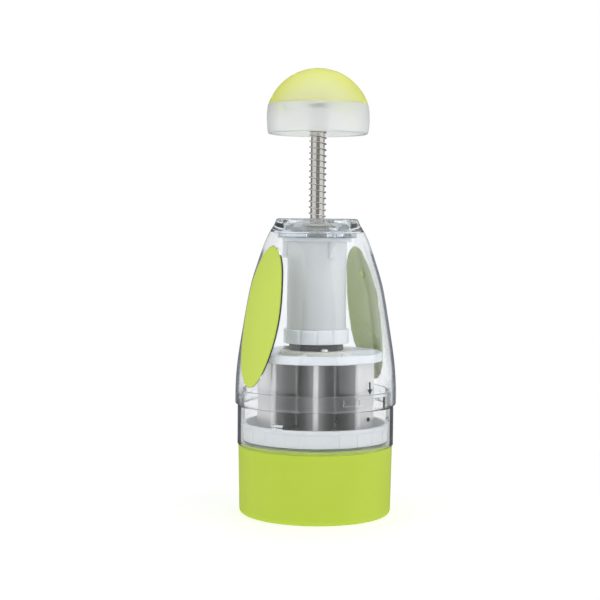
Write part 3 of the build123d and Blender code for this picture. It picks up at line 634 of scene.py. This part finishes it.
CAM_AZ = -36.5
world = bpy.data.worlds.new("studio")
scene.world = world
world.use_nodes = True
wn, wl = world.node_tree.nodes, world.node_tree.links
wn.clear()
wout = wn.new("ShaderNodeOutputWorld")


def background(colour, strength):
    b = wn.new("ShaderNodeBackground")
    b.inputs["Color"].default_value = colour
    b.inputs["Strength"].default_value = strength
    return b


lp = wn.new("ShaderNodeLightPath")
room = background((0.985, 0.995, 1.0, 1), 0.42)        # light from all round
dark_room = background((0.95, 0.975, 1.0, 1), 0.26)     # what polished surfaces mirror: dark at eye level, light overhead
sky = wn.new("ShaderNodeTexCoord")
sky_z = wn.new("ShaderNodeSeparateXYZ")
wl.new(sky.outputs["Generated"], sky_z.inputs[0])
overhead = wn.new("ShaderNodeMapRange")
overhead.interpolation_type = "SMOOTHSTEP"
overhead.inputs["From Min"].default_value = 0.25
overhead.inputs["From Max"].default_value = 0.75
overhead.inputs["To Min"].default_value = 0.36
overhead.inputs["To Max"].default_value = 1.0
wl.new(sky_z.outputs["Z"], overhead.inputs["Value"])
ahead = wn.new("ShaderNodeVectorMath")
ahead.operation = "DOT_PRODUCT"
ahead.inputs[1].default_value = (-math.sin(math.radians(CAM_AZ)), math.cos(math.radians(CAM_AZ)), 0.0)
wl.new(sky.outputs["Generated"], ahead.inputs[0])
behind = wn.new("ShaderNodeMapRange")
behind.interpolation_type = "SMOOTHSTEP"
behind.inputs["From Min"].default_value = 0.0
behind.inputs["From Max"].default_value = 0.8
behind.inputs["To Min"].default_value = 1.0
behind.inputs["To Max"].default_value = 0.85
wl.new(ahead.outputs["Value"], behind.inputs["Value"])
mirror = wn.new("ShaderNodeMath")
mirror.operation = "MULTIPLY"
wl.new(overhead.outputs["Result"], mirror.inputs[0])
wl.new(behind.outputs["Result"], mirror.inputs[1])
wl.new(mirror.outputs[0], dark_room.inputs["Strength"])
white = background((1, 1, 1, 1), 1.0)                  # the backdrop, straight or through clear plastic
through = background((0.985, 0.995, 1.0, 1), 0.96)
mix_a, mix_b, mix_c = (wn.new("ShaderNodeMixShader") for _ in range(3))
wl.new(lp.outputs["Is Glossy Ray"], mix_a.inputs[0])
wl.new(room.outputs[0], mix_a.inputs[1])
wl.new(dark_room.outputs[0], mix_a.inputs[2])
wl.new(lp.outputs["Is Transmission Ray"], mix_b.inputs[0])
wl.new(mix_a.outputs[0], mix_b.inputs[1])
wl.new(through.outputs[0], mix_b.inputs[2])
wl.new(lp.outputs["Is Camera Ray"], mix_c.inputs[0])
wl.new(mix_b.outputs[0], mix_c.inputs[1])
wl.new(white.outputs[0], mix_c.inputs[2])
wl.new(mix_c.outputs[0], wout.inputs["Surface"])


def panel(name, azimuth, distance, height, size, radiance, target=(0, 0, 0.12)):
    """A soft box at an azimuth round the object (0 looks along +Y), with its radiance."""
    a = math.radians(azimuth)
    loc = Vector((math.sin(a) * distance, -math.cos(a) * distance, height))
    d = bpy.data.lights.new(name, "AREA")
    d.shape = "RECTANGLE"
    d.size, d.size_y = size
    d.energy = radiance * math.pi * size[0] * size[1]
    o = bpy.data.objects.new(name, d)
    scene.collection.objects.link(o)
    o.location = loc
    o.rotation_mode = "QUATERNION"
    o.rotation_quaternion = (Vector(target) - loc).to_track_quat("-Z", "Y")
    o.visible_camera = False
    return o


panel("soft_box_left", CAM_AZ - 61, 1.15, 0.38, (1.73, 1.2), 0.86)
left_fill = panel("soft_box_left_fill", CAM_AZ - 61, 1.15, 0.38, (1.73, 1.2), 0.09)
left_fill.visible_glossy = False
panel("soft_box_right", CAM_AZ + 65, 1.15, 0.38, (1.5, 1.2), 0.98)
right_fill = panel("soft_box_right_fill", CAM_AZ + 55, 1.15, 0.38, (1.4, 1.2), 0.08)
right_fill.visible_glossy = False
edge_light = panel("soft_box_right_back", CAM_AZ + 124, 1.15, 0.38, (0.9, 1.2), 0.44)
edge_light.visible_diffuse = False
edge_light.visible_transmission = False
panel("soft_box_top", CAM_AZ + 170, 0.25, 1.35, (1.0, 1.0), 1.0)
fill = panel("fill_front", CAM_AZ + 6, 1.35, 0.40, (1.3, 1.1), 0.48)
fill.visible_glossy = False

# ------------------------------------------------------------------- camera
AZ = math.radians(CAM_AZ)
DIST, HEIGHT = 0.765, 0.157
back = Vector((math.sin(AZ), -math.cos(AZ), 0))
cam_data = bpy.data.cameras.new("camera")
cam_data.sensor_width = 36.0
cam_data.lens = 84.0
cam = bpy.data.objects.new("camera", cam_data)
scene.collection.objects.link(cam)
cam.location = back * DIST + Vector((0, 0, HEIGHT))
yaw = math.radians(0.675)
pitch = math.radians(-3.03)
roll = math.radians(0.5)
fwd = Matrix.Rotation(yaw, 3, "Z") @ (-back)
right = fwd.cross(Vector((0, 0, 1))).normalized()
fwd = Matrix.Rotation(pitch, 3, right) @ fwd
up = right.cross(fwd).normalized()
m3 = Matrix((right, up, -fwd)).transposed()
m3 = Matrix.Rotation(roll, 3, -fwd) @ m3
cam.rotation_mode = "QUATERNION"
cam.rotation_quaternion = m3.to_quaternion()
scene.camera = cam
scene.view_settings.view_transform = "Standard"
scene.cycles.max_bounces = 20
scene.cycles.transmission_bounces = 20
scene.cycles.transparent_max_bounces = 24
scene.cycles.glossy_bounces = 6
scene.cycles.diffuse_bounces = 4
scene.cycles.caustics_reflective = False
scene.cycles.caustics_refractive = True
scene.cycles.sample_clamp_indirect = 6.0
